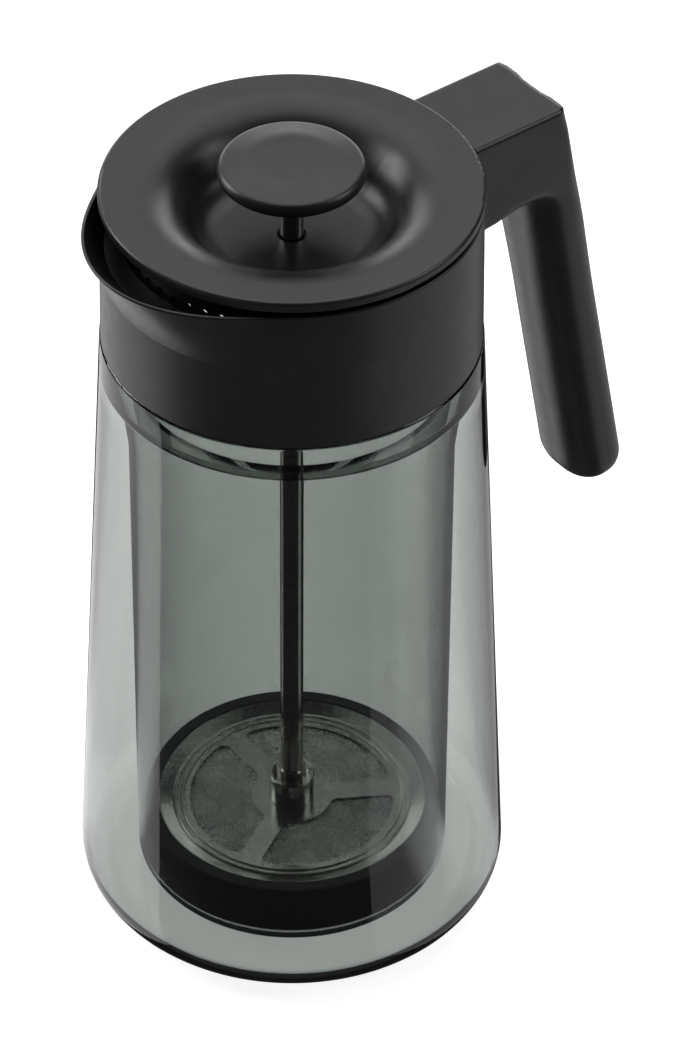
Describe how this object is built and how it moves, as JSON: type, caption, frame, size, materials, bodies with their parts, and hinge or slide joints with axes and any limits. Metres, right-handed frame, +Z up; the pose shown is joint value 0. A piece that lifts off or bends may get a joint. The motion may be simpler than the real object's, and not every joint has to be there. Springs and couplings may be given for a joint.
{
  "type": "french press",
  "caption": "Double-walled smoked glass coffee press with a black spouted collar, side handle, turning strainer lid and a filter plunger.",
  "frame": {"origin": "centre of the flat base", "axes": "+Z up along the jug and the rod, +X towards the handle, -X towards the spout"},
  "size_m": [0.1709, 0.119, 0.2439],
  "materials": {
    "smoked_glass": "clear smoke grey borosilicate, fire polished",
    "black_plastic": "satin moulded, fine even texture",
    "black_silicone": "matte moulded silicone",
    "turned_steel": "finely turned and polished stainless steel",
    "pressed_steel": "polished stainless sheet",
    "woven_steel": "fine plain-weave stainless wire cloth",
    "brass": "turned and knurled"
  },
  "bodies": {
    "jug": {"outer_glass": "smoked_glass", "inner_glass": "smoked_glass", "collar": "black_plastic", "collar_seal": "black_silicone", "neck_sleeve": "black_silicone", "handle": "black_plastic", "handle_screws": "turned_steel", "handle_inserts": "brass"},
    "lid_seal": {"lid_seal": "black_silicone"},
    "lid": {"lid_cover": "black_plastic", "strainer": "black_plastic", "rod_bushing": "turned_steel", "lid_screws": "turned_steel"},
    "plunger": {"knob": "black_plastic", "knob_insert": "brass", "rod": "turned_steel", "hub": "turned_steel", "spoked_plate": "pressed_steel", "mesh_screen": "woven_steel", "support_plate": "pressed_steel", "seal_ring": "black_silicone", "filter_nut": "turned_steel"}
  },
  "joints": [
    {"name": "lid_lift", "type": "slide", "parent": "jug", "child": "lid_seal", "axis": [0, 0, 1], "range_m": [0, 0.24]},
    {"name": "lid_turn", "type": "hinge", "parent": "lid_seal", "child": "lid", "pos_m": [0, 0, 0.2123], "axis": [0, 0, 1], "continuous": true},
    {"name": "plunger_slide", "type": "slide", "parent": "lid", "child": "plunger", "axis": [0, 0, 1], "range_m": [0, 0.175]}
  ]
}
